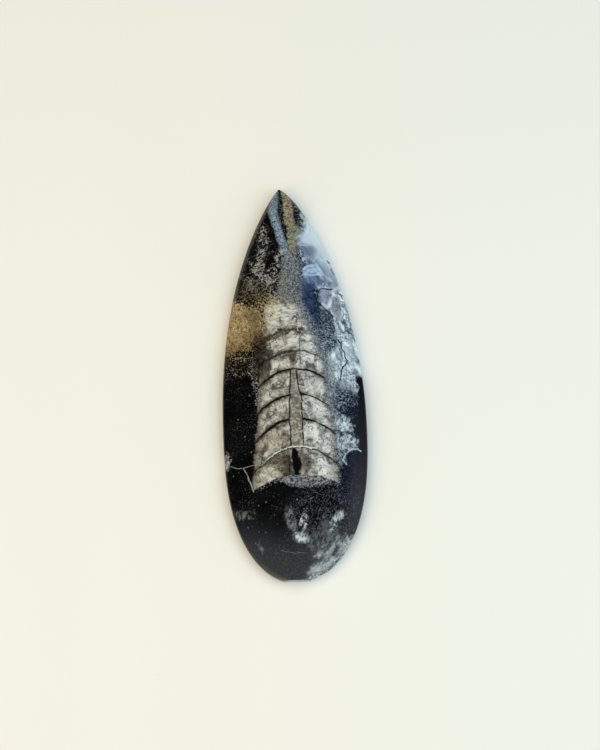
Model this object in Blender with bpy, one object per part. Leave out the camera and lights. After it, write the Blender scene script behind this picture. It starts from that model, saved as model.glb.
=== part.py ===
"""An orthoceras fossil: a teardrop stone of black limestone, ground and polished to a dome.

The fossil lies in the stone and was ground flush with it, so the whole thing is one solid.
It lies on its flat back, with the tip towards +Y and the dome up.
"""

import math
import random

import bmesh
import bpy
from mathutils import Matrix, Vector

MM = 0.001

# Driving dimensions, in millimetres.
LENGTH = 55.0  # tip to foot
RIGHT_WIDTH = 10.8  # long axis to the widest point on the +X side
LEFT_WIDTH = 9.0  # long axis to the widest point on the -X side
THICKNESS = 5.5  # flat back to the crown of the dome
GIRDLE_TOP = 2.2  # top of the upright wall that runs round the stone
BACK_BEVEL = 0.4  # the broken edge between the wall and the flat back

# The long axis runs through the tip. The stone is fuller on its right, so the axis lies left of centre.
AXIS_X = (LEFT_WIDTH - RIGHT_WIDTH) / 2
TIP_Y = LENGTH / 2
FOOT_Y = -LENGTH / 2
SHARP_TIP_Y = TIP_Y + 0.06  # where the sides would meet, were the point not worn
ROUND_FOOT_Y = FOOT_Y - 0.25  # where the rounded foot would end, were it not ground flat

# Each side of the outline is two superellipse quarters that meet where it is widest:
# width * (1 - s ** power) ** root, with s from 0 at the widest point to 1 at the tip or the foot.
RIGHT_SIDE = {"width": RIGHT_WIDTH, "widest_y": -6.1, "tip": (1.94, 0.742), "foot": (2.58, 0.46)}
LEFT_SIDE = {"width": LEFT_WIDTH, "widest_y": -7.6, "tip": (2.31, 0.872), "foot": (2.56, 0.52)}
SECTIONS = 64  # cross-sections from foot to tip

# Across the stone the dome is an arch of the same kind, and it gets lower as the stone narrows.
DOME_POWER = 2.3
DOME_ROOT = 0.95
DOME_TAPER = 0.85
ARCH_STEPS = 22

# Flats that the lap left on the foot, beside the one it ends in: a point on each, and where it faces.
LAP_FLATS = {
    "lower_left": ((-4.4, -26.3), (-0.59, -0.81)),
    "lower_right": ((2.65, -26.8), (0.44, -0.9)),
}

# Chips broken from the edge: centre, radii along the edge, inwards and down, and the edge's heading.
CHIPS = {
    "foot_chip": {"at": (1.9, -27.4, 2.8), "radii": (1.0, 0.7, 0.8), "heading": 26, "seed": 3},
    "middle_chip": {"at": (3.5, -26.6, 2.7), "radii": (0.8, 0.6, 0.7), "heading": 26, "seed": 4},
    "corner_chip": {"at": (5.3, -25.4, 2.5), "radii": (1.3, 0.6, 0.9), "heading": 42, "seed": 5},
    "left_chip": {"at": (-9.85, -11.3, 2.0), "radii": (0.95, 0.35, 0.6), "heading": 92, "seed": 8},
}
CHIP_ROUGHNESS = 0.16  # how far a chip's facets stray from an ellipsoid, as a share of its radii

LIMESTONE_COLOUR = (0.012, 0.012, 0.014, 1.0)
POLISH_ROUGHNESS = 0.12
SHARP_EDGE = math.radians(35)


def clear_scene():
    for old in list(bpy.data.objects):
        bpy.data.objects.remove(old)


def limestone():
    """Polished black limestone."""
    material = bpy.data.materials.new("black_limestone")
    material.use_nodes = True
    shader = material.node_tree.nodes["Principled BSDF"]
    shader.inputs["Base Color"].default_value = LIMESTONE_COLOUR
    shader.inputs["Roughness"].default_value = POLISH_ROUGHNESS
    shader.inputs["Metallic"].default_value = 0.0
    return material


def half_width(side, y):
    """From the long axis to the outline at y, on one side."""
    towards_tip = y > side["widest_y"]
    power, root = side["tip"] if towards_tip else side["foot"]
    end_y = SHARP_TIP_Y if towards_tip else ROUND_FOOT_Y
    share = (y - side["widest_y"]) / (end_y - side["widest_y"])
    return side["width"] * (1 - share**power) ** root


def section(y):
    """(x, z) round the stone where it is cut across at y: right wall, arch, left wall, flat back."""
    right = half_width(RIGHT_SIDE, y)
    left = half_width(LEFT_SIDE, y)
    narrowing = (right + left) / (RIGHT_WIDTH + LEFT_WIDTH)
    rise = (THICKNESS - GIRDLE_TOP) * narrowing**DOME_TAPER
    bevel = BACK_BEVEL * narrowing
    points = [(right - bevel, 0.0), (right, BACK_BEVEL)]
    for step in range(ARCH_STEPS + 1):
        share = math.cos(math.pi * step / ARCH_STEPS)
        width = right if share > 0 else left
        height = rise * (1 - abs(share) ** DOME_POWER) ** DOME_ROOT
        points.append((width * share, GIRDLE_TOP + height))
    return points + [(-left, BACK_BEVEL), (bevel - left, 0.0)]


def lofted_stone():
    """The whole stone, skinned over its sections from foot to tip and closed at both ends."""
    body = bmesh.new()
    loops = []
    for step in range(SECTIONS + 1):
        y = -LENGTH / 2 * math.cos(math.pi * step / SECTIONS)
        loops.append([body.verts.new(((AXIS_X + x) * MM, y * MM, z * MM)) for x, z in section(y)])
    for near, far in zip(loops, loops[1:]):
        for k in range(len(near)):
            body.faces.new((near[k - 1], near[k], far[k], far[k - 1]))
    body.faces.new(loops[0])
    body.faces.new(loops[-1])
    bmesh.ops.recalc_face_normals(body, faces=body.faces)
    return body


def grind_flat(body, point, facing):
    """Takes off what stands outside an upright plane, and closes the cut."""
    cut = bmesh.ops.bisect_plane(
        body,
        geom=body.verts[:] + body.edges[:] + body.faces[:],
        plane_co=Vector((*point, 0.0)) * MM,
        plane_no=Vector((*facing, 0.0)).normalized(),
        clear_outer=True,
    )
    rim = [part for part in cut["geom_cut"] if isinstance(part, bmesh.types.BMEdge)]
    bmesh.ops.contextual_create(body, geom=rim)


def join_back(body):
    """The flat back as one face."""
    back = [face for face in body.faces if max(vert.co.z for vert in face.verts) < 0.01 * MM]
    bmesh.ops.dissolve_faces(body, faces=back, use_verts=False)


def chip_cutter(name, chip):
    """A rough faceted lump that breaks one chip from the stone's edge."""
    lump = bmesh.new()
    bmesh.ops.create_icosphere(lump, subdivisions=2, radius=1.0)
    rough = random.Random(chip["seed"])
    for vert in lump.verts:
        vert.co *= 1 + rough.uniform(-CHIP_ROUGHNESS, CHIP_ROUGHNESS)
    size = Matrix.Diagonal(Vector(chip["radii"]) * MM).to_4x4()
    turn = Matrix.Rotation(math.radians(chip["heading"]), 4, "Z")
    bmesh.ops.transform(lump, matrix=turn @ size, verts=lump.verts)
    mesh = bpy.data.meshes.new(name)
    lump.to_mesh(mesh)
    lump.free()
    cutter = bpy.data.objects.new(name, mesh)
    cutter.location = Vector(chip["at"]) * MM
    cutter.display_type = "WIRE"
    cutter.hide_render = True
    bpy.context.scene.collection.objects.link(cutter)
    return cutter


def orthoceras_stone():
    body = lofted_stone()
    for point, facing in LAP_FLATS.values():
        grind_flat(body, point, facing)
    join_back(body)
    bmesh.ops.recalc_face_normals(body, faces=body.faces)
    mesh = bpy.data.meshes.new("orthoceras_stone")
    body.to_mesh(mesh)
    body.free()
    mesh.shade_smooth()
    mesh.set_sharp_from_angle(angle=SHARP_EDGE)
    mesh.materials.append(limestone())
    stone = bpy.data.objects.new("orthoceras_stone", mesh)
    bpy.context.scene.collection.objects.link(stone)
    for name, chip in CHIPS.items():
        cut = stone.modifiers.new(name, "BOOLEAN")
        cut.operation = "DIFFERENCE"
        cut.solver = "EXACT"
        cut.object = chip_cutter(name, chip)
    return stone


clear_scene()
orthoceras_stone()
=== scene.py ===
# %% [markdown]
# # A polished orthoceras fossil
#
# Orthoceras was a straight-shelled relative of the squid. Its shell was a long cone, parted by curved walls
# into chambers, with a tube called the siphuncle running through them all. The mud that buried it became
# black limestone, and the chambers filled with pale calcite. Such a stone is sawn along the fossil and
# ground to a teardrop with a domed face, so the fossil shows as a picture in the polish.
#
# This lesson grinds the teardrop, then builds its picture from nothing but arithmetic on places. The frame
# holds a plain solid of the stone at its real size, and everything is fitted to that.

# %% Load the frame
import math
import random

import bpy
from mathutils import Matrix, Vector, noise


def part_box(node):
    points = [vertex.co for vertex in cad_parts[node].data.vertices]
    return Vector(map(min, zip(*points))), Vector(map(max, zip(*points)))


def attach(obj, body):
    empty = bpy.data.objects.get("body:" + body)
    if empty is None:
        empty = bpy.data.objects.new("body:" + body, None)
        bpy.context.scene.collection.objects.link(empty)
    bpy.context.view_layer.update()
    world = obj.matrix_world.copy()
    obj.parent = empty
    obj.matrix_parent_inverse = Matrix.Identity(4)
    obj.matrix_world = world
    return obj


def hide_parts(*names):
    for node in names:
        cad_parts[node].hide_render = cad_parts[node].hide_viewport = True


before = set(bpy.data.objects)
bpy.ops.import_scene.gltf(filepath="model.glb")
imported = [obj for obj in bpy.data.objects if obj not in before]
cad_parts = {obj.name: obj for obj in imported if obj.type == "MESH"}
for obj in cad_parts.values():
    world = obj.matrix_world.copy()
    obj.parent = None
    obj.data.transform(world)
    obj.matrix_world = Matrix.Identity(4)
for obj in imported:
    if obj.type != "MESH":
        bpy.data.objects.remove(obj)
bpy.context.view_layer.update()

# %% [markdown]
# ## The camera
#
# The stone lies on its back and the camera looks down on its face, a little from the foot's side, so that a
# sliver of the wall shows under the foot. A long lens keeps the small stone free of stretching. The camera
# stands a few degrees to the left, which turns the stone a little in the picture.

# %% Distance
MM = 0.001
PICTURE = (600, 750)  # the frame's width and height, in pixels
STONE_PIXELS = 392  # height of the stone in the picture
STONE_CENTRE = (293, 380)  # where the middle of the stone falls in the picture
CAMERA_ELEVATION = math.radians(79)
CAMERA_AZIMUTH = math.radians(-2.4)
LENS = 85  # in millimetres
SENSOR = 36  # in millimetres, along the frame's long side

stone_low, stone_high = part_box("orthoceras_stone")
stone_length = stone_high.y - stone_low.y
frame_height = PICTURE[1] / STONE_PIXELS * stone_length * math.sin(CAMERA_ELEVATION)
camera_distance = frame_height * LENS / SENSOR
print("the camera stands", round(camera_distance / MM), "mm away")

# %% Camera
backward = Vector((
    math.sin(CAMERA_AZIMUTH) * math.cos(CAMERA_ELEVATION),
    -math.cos(CAMERA_AZIMUTH) * math.cos(CAMERA_ELEVATION),
    math.sin(CAMERA_ELEVATION),
))
bpy.ops.object.select_all(action="DESELECT")
bpy.ops.object.camera_add()
camera = bpy.context.object
camera.rotation_euler = backward.to_track_quat("Z", "Y").to_euler()
turn = camera.rotation_euler.to_matrix()
metres_per_pixel = frame_height / PICTURE[1]
rightward = (PICTURE[0] / 2 - STONE_CENTRE[0]) * metres_per_pixel
upward = (STONE_CENTRE[1] - PICTURE[1] / 2) * metres_per_pixel
look_at = (stone_low + stone_high) / 2
camera.location = look_at + turn @ Vector((rightward, upward, camera_distance))
camera.data.lens = LENS
camera.data.sensor_width = SENSOR
camera.data.clip_start = 10 * MM
bpy.context.scene.camera = camera
print("the camera is at, mm:", [round(side / MM) for side in camera.location])

# %% [markdown]
# ## The outline
#
# Each side of a teardrop bulges to its widest place and then runs in to the tip or round to the foot. One
# formula, a superellipse, gives both: two numbers decide how full the curve is and how sharply it arrives.
# The left and right sides have their own, because a stone ground by hand is never the same on both.

# %% Outline
RIGHT_WIDTH = 10.8 * MM  # from the long axis to the widest place on the right
LEFT_WIDTH = 9.0 * MM
AXIS_X = (LEFT_WIDTH - RIGHT_WIDTH) / 2  # the right is fuller, so the long axis lies left of the middle
SHARP_TIP_Y = stone_high.y + 0.06 * MM  # where the sides would meet, were the tip not worn
ROUND_FOOT_Y = stone_low.y - 0.25 * MM  # where the rounded foot would end, were it not ground flat
RIGHT_SIDE = {"width": RIGHT_WIDTH, "widest_y": -6.1 * MM, "tip": (1.94, 0.742), "foot": (2.58, 0.46)}
LEFT_SIDE = {"width": LEFT_WIDTH, "widest_y": -7.6 * MM, "tip": (2.31, 0.872), "foot": (2.56, 0.52)}


def half_width(side, y):
    """From the long axis to the outline at y, on one side."""
    towards_tip = y > side["widest_y"]
    power, root = side["tip"] if towards_tip else side["foot"]
    end_y = SHARP_TIP_Y if towards_tip else ROUND_FOOT_Y
    share = (y - side["widest_y"]) / (end_y - side["widest_y"])
    return side["width"] * (1 - share**power) ** root


print("width at the middle, mm:", round((half_width(LEFT_SIDE, 0) + half_width(RIGHT_SIDE, 0)) / MM, 2))

# %% [markdown]
# ## The domed face
#
# A flat grid is laid out over the teardrop, and each point of it is lifted to the dome. The columns crowd
# together a little at the sides, where the dome turns down towards the wall. A stone ground by hand is
# never quite true: soft noise sinks the face by a few hundredths of a millimetre, enough to make its
# reflections swim.

# %% Shape of the dome
THICKNESS = stone_high.z
GIRDLE_TOP = 2.2 * MM  # top of the upright wall
RIM_ROUND = 0.05 * MM  # how far inside the outline the face ends
DOME_POWER = 2.3  # how full the arch across the stone is
DOME_ROOT = 0.95  # how steeply the arch meets the wall
DOME_TAPER = 0.85  # how the arch gets lower as the stone narrows
COLUMN_CROWDING = math.radians(72)
WAVINESS = 0.03 * MM
WAVE_LENGTH = 7 * MM


def outline_share(inset):
    """What is left of the outline's width and length when it is drawn so far inside itself."""
    return Vector((1 - 2 * inset / (RIGHT_WIDTH + LEFT_WIDTH), 1 - 2 * inset / stone_length, 1))


def dome_point(across, lengthwise):
    """The point of the face that the grid's point becomes; both run from -1 to 1."""
    y = lengthwise * stone_length / 2
    share = math.sin(COLUMN_CROWDING * across) / math.sin(COLUMN_CROWDING)
    right = half_width(RIGHT_SIDE, y)
    left = half_width(LEFT_SIDE, y)
    narrowing = (right + left) / (RIGHT_WIDTH + LEFT_WIDTH)
    rise = (THICKNESS - GIRDLE_TOP) * narrowing**DOME_TAPER
    x = share * (right if share > 0 else left)
    lift = max(0.0, 1 - abs(share) ** DOME_POWER)
    wave = WAVINESS * (noise.noise(Vector((x, y, 0)) / WAVE_LENGTH) - 1) * lift
    shrink = outline_share(RIM_ROUND)
    return Vector((AXIS_X + x * shrink.x, y * shrink.y, GIRDLE_TOP + rise * lift**DOME_ROOT + wave))


print("the dome rises", round((THICKNESS - GIRDLE_TOP) / MM, 2), "mm above its wall")

# %% Face
COLUMNS = 72
ROWS = 200

bpy.ops.object.select_all(action="DESELECT")
bpy.ops.mesh.primitive_grid_add(x_subdivisions=COLUMNS, y_subdivisions=ROWS, size=2)
stone = bpy.context.object
stone.name = "polished_stone"
for vert in stone.data.vertices:
    vert.co = dome_point(vert.co.x, vert.co.y)
print("face of the dome:", len(stone.data.polygons), "quads")

# %% [markdown]
# ## The wall and the back
#
# The rim of the face is extruded again and again down a short profile: out and over the softly rounded
# rim, straight down the wall, and in under the broken edge that every careful cutter leaves, so that the
# stone doesn't chip when it is set down. The flat back is one face that fills the last ring.

# %% Wall and back
MERGE = 0.02 * MM  # points closer than this become one
WALL_PROFILE = [  # how far inside the outline, and how high
    (0.0, 2.08 * MM),
    (0.0, 1.9 * MM),
    (0.0, 0.6 * MM),
    (0.0, 0.4 * MM),
    (0.4 * MM, 0.0),
]

bpy.ops.object.mode_set(mode="EDIT")
bpy.ops.mesh.select_mode(type="EDGE")
bpy.ops.mesh.select_all(action="DESELECT")
bpy.ops.mesh.select_non_manifold()
last_share = outline_share(RIM_ROUND)
for inset, height in WALL_PROFILE:
    bpy.ops.mesh.extrude_region_move()
    bpy.ops.transform.resize(value=(1, 1, 0), center_override=(0, 0, height))
    change = [new / old for new, old in zip(outline_share(inset), last_share)]
    bpy.ops.transform.resize(value=change, center_override=(AXIS_X, 0, height))
    last_share = outline_share(inset)
bpy.ops.mesh.edge_face_add()
bpy.ops.mesh.select_all(action="SELECT")
bpy.ops.mesh.remove_doubles(threshold=MERGE)
bpy.ops.mesh.normals_make_consistent(inside=False)
print("thickness, mm:", round(max(vert.co.z for vert in stone.data.vertices) / MM, 2))

# %% [markdown]
# ## Flats on the foot
#
# The foot was not rounded all the way: the wheel left three short flats. One is where the grid ends. The
# other two are cut with bisect, which slices the whole stone with a plane and throws away what is outside
# it. The edge of the cut is then the only open edge left, so it is easy to select and fill.

# %% Flats
LAP_FLATS = {  # a point on each flat, and where it faces
    "lower left": ((-4.4 * MM, -26.3 * MM, 0), (-0.59, -0.81, 0)),
    "lower right": ((2.65 * MM, -26.8 * MM, 0), (0.44, -0.9, 0)),
}

for point, facing in LAP_FLATS.values():
    bpy.ops.mesh.select_all(action="SELECT")
    bpy.ops.mesh.bisect(plane_co=point, plane_no=facing, clear_outer=True)
    bpy.ops.mesh.select_all(action="SELECT")
    bpy.ops.mesh.remove_doubles(threshold=MERGE)
    bpy.ops.mesh.select_all(action="DESELECT")
    bpy.ops.mesh.select_non_manifold()
    bpy.ops.mesh.edge_face_add()
bpy.ops.mesh.select_all(action="SELECT")
bpy.ops.mesh.normals_make_consistent(inside=False)
bpy.ops.object.mode_set(mode="OBJECT")
print("after grinding:", len(stone.data.polygons), "faces")

# %% [markdown]
# ## Chips
#
# Where the rim was struck, three small flakes have broken off the foot and one off the left side. Each
# rough hollow is cut with a Boolean: a low ico sphere is stretched along the rim, turned to the rim's
# heading and roughened, then taken away from the stone.

# %% Chips
CHIPS = {  # in millimetres: centre, half-sizes along the rim, inwards and down; and the rim's heading
    "foot chip": {"at": (1.9, -27.4, 2.8), "radii": (1.0, 0.7, 0.8), "heading": 26, "seed": 3},
    "middle chip": {"at": (3.5, -26.6, 2.7), "radii": (0.8, 0.6, 0.7), "heading": 26, "seed": 4},
    "corner chip": {"at": (5.3, -25.4, 2.5), "radii": (1.3, 0.6, 0.9), "heading": 42, "seed": 5},
    "left chip": {"at": (-9.85, -11.3, 2.0), "radii": (0.95, 0.35, 0.6), "heading": 92, "seed": 8},
}
CHIP_ROUGHNESS = 0.13  # how far a flake's points stray, as a share of its size

for chip in CHIPS.values():
    centre = [MM * side for side in chip["at"]]
    bpy.ops.object.select_all(action="DESELECT")
    bpy.ops.mesh.primitive_ico_sphere_add(subdivisions=3, radius=1, location=centre)
    flake = bpy.context.object
    flake.scale = [MM * radius for radius in chip["radii"]]
    flake.rotation_euler.z = math.radians(chip["heading"])
    rough = random.Random(chip["seed"])
    for vert in flake.data.vertices:
        vert.co *= 1 + rough.uniform(-CHIP_ROUGHNESS, CHIP_ROUGHNESS)
    bpy.ops.object.select_all(action="DESELECT")
    bpy.context.view_layer.objects.active = stone
    stone.select_set(True)
    cut = stone.modifiers.new("chip", "BOOLEAN")
    cut.object = flake
    bpy.ops.object.modifier_apply(modifier=cut.name)
    bpy.data.objects.remove(flake)
print("with its chips:", len(stone.data.polygons), "faces")

# %% [markdown]
# ## Taking the plain solid's place
#
# The plain solid is never changed. The ground stone rides on its body and stands in for it. Smoothing by
# angle then shades the dome as one curved face, while the edges of the flats and of the chips, which turn
# more sharply, stay crisp.

# %% Ride
SHARP_EDGE = math.radians(30)

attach(stone, "root")
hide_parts("orthoceras_stone")
bpy.ops.object.shade_smooth_by_angle(angle=SHARP_EDGE)
print(stone.name, "stands in for the plain solid, with", len(stone.data.vertices), "points")

# %% [markdown]
# ## Sums on sockets
#
# The picture is worked out from the place of each point, so the material is mostly sums. Wiring hundreds
# of nodes by hand hides what they say. A small class holds one socket, and adding or multiplying two of
# them adds the Math node that does it, so that the sums can be written as sums.


# %% Sums on sockets
class Shade:
    """A number or colour in a material: sums on it add the nodes that work it out."""

    tree = None

    def __init__(self, socket):
        self.socket = socket

    @classmethod
    def node(cls, kind, settings=None, sockets=None, output=0):
        """Adds any node: its settings first, then the values or links of its sockets."""
        added = cls.tree.nodes.new(kind)
        for name, value in (settings or {}).items():
            setattr(added, name, value)
        for name, value in (sockets or {}).items():
            if isinstance(value, Shade):
                cls.tree.links.new(value.socket, added.inputs[name])
            else:
                added.inputs[name].default_value = value
        return cls(added.outputs[output])

    @classmethod
    def sum(cls, operation, *values):
        """Adds a Math node."""
        return cls.node("ShaderNodeMath", {"operation": operation}, dict(enumerate(values)))

    def __add__(self, other):
        return self.sum("ADD", self, other)

    def __sub__(self, other):
        return self.sum("SUBTRACT", self, other)

    def __mul__(self, other):
        return self.sum("MULTIPLY", self, other)

    def __rsub__(self, other):
        return self.sum("SUBTRACT", other, self)

    def __abs__(self):
        return self.sum("ABSOLUTE", self)

    __radd__ = __add__
    __rmul__ = __mul__


limestone = bpy.data.materials.new("polished_limestone")
limestone.use_nodes = True
Shade.tree = limestone.node_tree
print("the material starts with", len(Shade.tree.nodes), "nodes")

# %% [markdown]
# ## Masks and inks
#
# A mask is a number from 0 to 1 that says where something shows, and nearly every mask here is a fade
# between two levels. Colours are written as a paint chart gives them, and laid one over another through
# masks, from the ground of the stone up to its brightest marks.


# %% Masks
def larger(*masks):
    """The largest of several masks."""
    most = masks[0]
    for mask in masks[1:]:
        most = Shade.sum("MAXIMUM", most, mask)
    return most


def fade(value, none, full):
    """0 where the value is at none, 1 where it is at full, and a smooth change between."""
    settings = {"interpolation_type": "SMOOTHSTEP", "clamp": False}  # a smooth step never leaves 0 to 1
    return Shade.node("ShaderNodeMapRange", settings, {"Value": value, "From Min": none, "From Max": full})


print("masks:", fade.__name__, larger.__name__)


# %% Inks
def ink(red, green, blue):
    """A colour as a paint chart gives it, 0 to 255, made linear for the shader."""
    def linear(level):
        share = level / 255
        return share / 12.92 if share < 0.04045 else ((share + 0.055) / 1.055) ** 2.4
    return (linear(red), linear(green), linear(blue), 1.0)


def lay(mask, over, under):
    """Paints one colour over another where the mask is 1. Three plain numbers are an ink."""
    over, under = [side if isinstance(side, Shade) else ink(*side) for side in (over, under)]
    sockets = {0: mask, 6: under, 7: over}  # the Mix node's sockets for colours
    return Shade.node("ShaderNodeMix", {"data_type": "RGBA"}, sockets, output=2)


def two_tone(level, none, full, over, under):
    """Two inks, parted where a level passes from none to full."""
    return lay(fade(level, none, full), over, under)


def painted(step):
    """Says how large the material has become."""
    print(f"{step}: {len(Shade.tree.nodes)} nodes in the material")


print("a mid grey of 128 is", round(ink(128, 128, 128)[0], 3), "to the shader")

# %% [markdown]
# ## Places in millimetres, and rough places
#
# Every mask asks one thing: how far is this point from some place? Places are read from the stone itself,
# in millimetres. Measured on them a mask has ruled edges, and stone has none, so most are measured on
# places that noise has moved: a little for lines, more for patches.

# %% Places
coordinates = Shade.node("ShaderNodeTexCoord", output="Object")
place = Shade.node("ShaderNodeVectorMath", {"operation": "SCALE"}, {"Vector": coordinates, "Scale": 1 / MM})
plain_x, plain_y, z = [Shade.node("ShaderNodeSeparateXYZ", None, {0: place}, axis) for axis in range(3)]


def grain(size, detail=2, roughness=0.5, twist=0.0, output=0):
    """Noise whose lumps are about so many millimetres across, mostly between 0.3 and 0.7."""
    sockets = {"Vector": place, "Scale": 1 / size, "Detail": detail, "Roughness": roughness}
    sockets["Distortion"] = twist
    return Shade.node("ShaderNodeTexNoise", None, sockets, output)


fine = grain(0.24, 3, 0.7)
medium = grain(0.55, 3, 0.6, 0.5)
painted("places and grains")

# %% [markdown]
# ## Moved places
#
# A noise's colour is three noises that have nothing to do with each other, so one node can move both x
# and y. Each place is kept as (x, y, 1). The 1 lets a single dot product measure a distance from any line:
# it turns, scales and shifts at once.


# %% Moved places
def moved_place(moves):
    """x and y, each moved by noises, given as size: amount."""
    moved = [plain_x, plain_y]
    for size, amount in moves.items():
        push = grain(size, output="Color")
        for axis in range(2):
            shift = Shade.node("ShaderNodeSeparateColor", None, {0: push}, axis) - 0.5
            moved[axis] = moved[axis] + shift * amount
    return moved


def flat(x, y):
    """A place as (x, y, 1)."""
    return Shade.node("ShaderNodeCombineXYZ", None, {0: x, 1: y, 2: 1.0})


x, y = moved_place({1.5: 0.5, 0.35: 0.16})
rough_x, rough_y = moved_place({1.6: 2.4, 0.4: 1.0})
plain_place = flat(plain_x, plain_y)
line_place = flat(x, y)
rough_place = flat(rough_x, rough_y)
painted("moved places")

# %% [markdown]
# ## Spots and streaks
#
# Two shapes are enough for nearly every mark. A spot is an ellipse, and a streak is a straight stroke with
# round ends. A bent stroke is a chain of streaks, as a draughtsman would note it by a few points.


# %% Spots and streaks
def along(at, centre, heading, size=1.0):
    """How far a place lies from a centre along a heading, as a share of a size."""
    run = Vector((math.cos(heading), math.sin(heading))) / size
    measure = {0: at, 1: (run.x, run.y, -run.dot(Vector(centre)))}
    return Shade.node("ShaderNodeVectorMath", {"operation": "DOT_PRODUCT"}, measure, "Value")


def spot(centre, size, heading=0, soft=0.3, at=rough_place):
    """1 inside an ellipse of the given half-sizes, fading over its edge."""
    heading = math.radians(heading)
    run = along(at, centre, heading, size[0])
    rise = along(at, centre, heading + math.pi / 2, size[1])
    return fade(run * run + rise * rise, (1 + soft) ** 2, (1 - soft) ** 2)


def streak(start, end, width, soft=0.5, at=line_place):
    """1 along a straight stroke with round ends, fading over its edges."""
    start, end = Vector(start), Vector(end)
    heading = math.atan2(end.y - start.y, end.x - start.x)
    beyond = larger(abs(along(at, (start + end) / 2, heading)) - (end - start).length / 2, 0.0)
    aside = along(at, start, heading + math.pi / 2)
    half = width / 2
    return fade(beyond * beyond + aside * aside, (half * (1 + soft)) ** 2, (half * (1 - soft)) ** 2)


def strokes(points, width, soft=0.5, at=line_place):
    """A bent stroke through several points."""
    return larger(*[streak(start, end, width, soft, at) for start, end in zip(points, points[1:])])


print("marks:", spot.__name__, streak.__name__, strokes.__name__)

# %% [markdown]
# ## Sides
#
# A patch with straight borders needs only one question for each border: on which side of it does the
# place lie? Where every answer is the same, the place is inside.


# %% Sides
def left_of(start, end, soft=0.6, at=rough_place):
    """1 on the left of a line from start to end, 0 on its right."""
    heading = math.atan2(end[1] - start[1], end[0] - start[0])
    return fade(along(at, start, heading + math.pi / 2), -soft, soft)


def inside(corners, soft=0.12, at=line_place):
    """1 inside a convex outline whose corners are given anticlockwise."""
    whole = left_of(corners[-1], corners[0], soft, at)
    for start, end in zip(corners, corners[1:]):
        whole = whole * left_of(start, end, soft, at)
    return whole


print("patches:", left_of.__name__, inside.__name__)

# %% [markdown]
# ## Curls and fibres
#
# Two patterns fill the shapes. Where a lumpy noise passes its half-way level runs a thin, curling line,
# good for worm trails and cracks. Noise stretched along a heading gives fibres, as in drawn-out calcite.


# %% Curls and fibres
def worms(size, width, twist=1.2):
    """Thin curls: the lines along which a lumpy noise is half way."""
    return fade(abs(grain(size, 1, 0.5, twist) - 0.5), width, width * 0.35)


def fibres(size, stretch, heading, detail=3, roughness=0.6):
    """Noise drawn out along a heading."""
    drawn = {"Vector": place, "Scale": (size * stretch, size, size)}
    drawn["Rotation"] = (0, 0, math.radians(heading))
    drawn = Shade.node("ShaderNodeMapping", {"vector_type": "TEXTURE"}, drawn)
    sockets = {"Vector": drawn, "Scale": 1.0, "Detail": detail, "Roughness": roughness}
    return Shade.node("ShaderNodeTexNoise", None, sockets)


print("patterns:", worms.__name__, fibres.__name__)

# %% [markdown]
# ## Black limestone
#
# The ground is mud turned to stone: nearly black, with a painted bluish reflection on the lower right, and
# dusted with broken shell.
# Fine noise pushed through a threshold makes the dust. A few larger specks come from a cell pattern, which
# puts one near the middle of some of its cells.

# %% Limestone
colour = two_tone(grain(2.5, 3), 0.4, 0.65, (9, 9, 10), (3, 3, 3))
# painted reflection: the lower right of the black is painted bluish, a cool reflection in the polish
painted_blue_reflection = fade(rough_x, 3.5, 6.5) * fade(rough_y, -21, -13)
colour = lay(painted_blue_reflection * 0.8, two_tone(fine, 0.4, 0.62, (26, 36, 60), (7, 11, 22)), colour)
dust = fade(fine, 0.56, 0.7) * fade(grain(3, 2), 0.35, 0.6)
colour = lay(dust * 0.5, (96, 98, 102), colour)
painted("limestone")

# %% Specks
SPECK_SPACING = 0.85  # in millimetres

cells = {"Vector": place, "Scale": 1 / SPECK_SPACING}
speck_distance = Shade.node("ShaderNodeTexVoronoi", None, cells, "Distance")
speck_colour = Shade.node("ShaderNodeTexVoronoi", None, cells, "Color")
speck_chance = Shade.node("ShaderNodeSeparateColor", None, {0: speck_colour})
specks = fade(speck_distance, 0.19, 0.08) * fade(speck_chance, 0.45, 0.9)
colour = lay(specks * 0.6, (122, 123, 126), colour)
# painted reflection: towards the foot the black is painted lighter grey, the pale floor mirrored in the
# dome's slope, speckled by the grain
painted_foot_sheen = fade(rough_y, -20.5, -26.0)
colour = lay(painted_foot_sheen, two_tone(fine, 0.42, 0.66, (45, 45, 48), (9, 9, 10)), colour)
painted("specks")

# %% [markdown]
# ## Worm trails
#
# The tip's left side holds chains of pale curls, perhaps the fill of tiny burrows. To draw each curl would
# take all day. Instead a noise makes curls everywhere, and strokes along the chains say where they show.

# %% Worm trails
MAIN_TRAIL = [
    (-3.5, 21.0), (-3.1, 18.8), (-3.8, 17.4), (-4.5, 15.8), (-3.3, 13.9), (-2.6, 12.4), (-1.5, 10.9),
]
BRANCH_TRAIL = [(-0.8, 17.9), (-1.6, 16.0), (-2.1, 14.5), (-2.8, 13.6)]
RIM_TRAIL = [(-7.0, 15.0), (-5.8, 14.3), (-4.7, 13.6), (-5.3, 12.8)]

trail_zone = larger(
    strokes(MAIN_TRAIL, 1.35, 0.5, rough_place),
    strokes(BRANCH_TRAIL, 1.2, 0.5, rough_place),
    strokes(RIM_TRAIL, 0.8, 0.6, rough_place) * 0.6,
)
curls = larger(worms(1.15, 0.065, 1.6), worms(0.72, 0.055, 1.6) * fade(medium, 0.52, 0.62))
curl_tone = two_tone(fine, 0.38, 0.6, (168, 168, 164), (100, 100, 98))
colour = lay(curls * trail_zone, curl_tone, colour)
stray_curls = worms(1.9, 0.022, 1.4) * fade(rough_y, 11, 13) * fade(rough_x, -1, -2.5)
colour = lay(stray_curls * 0.4, (112, 112, 110), colour)
painted("worm trails")
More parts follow.
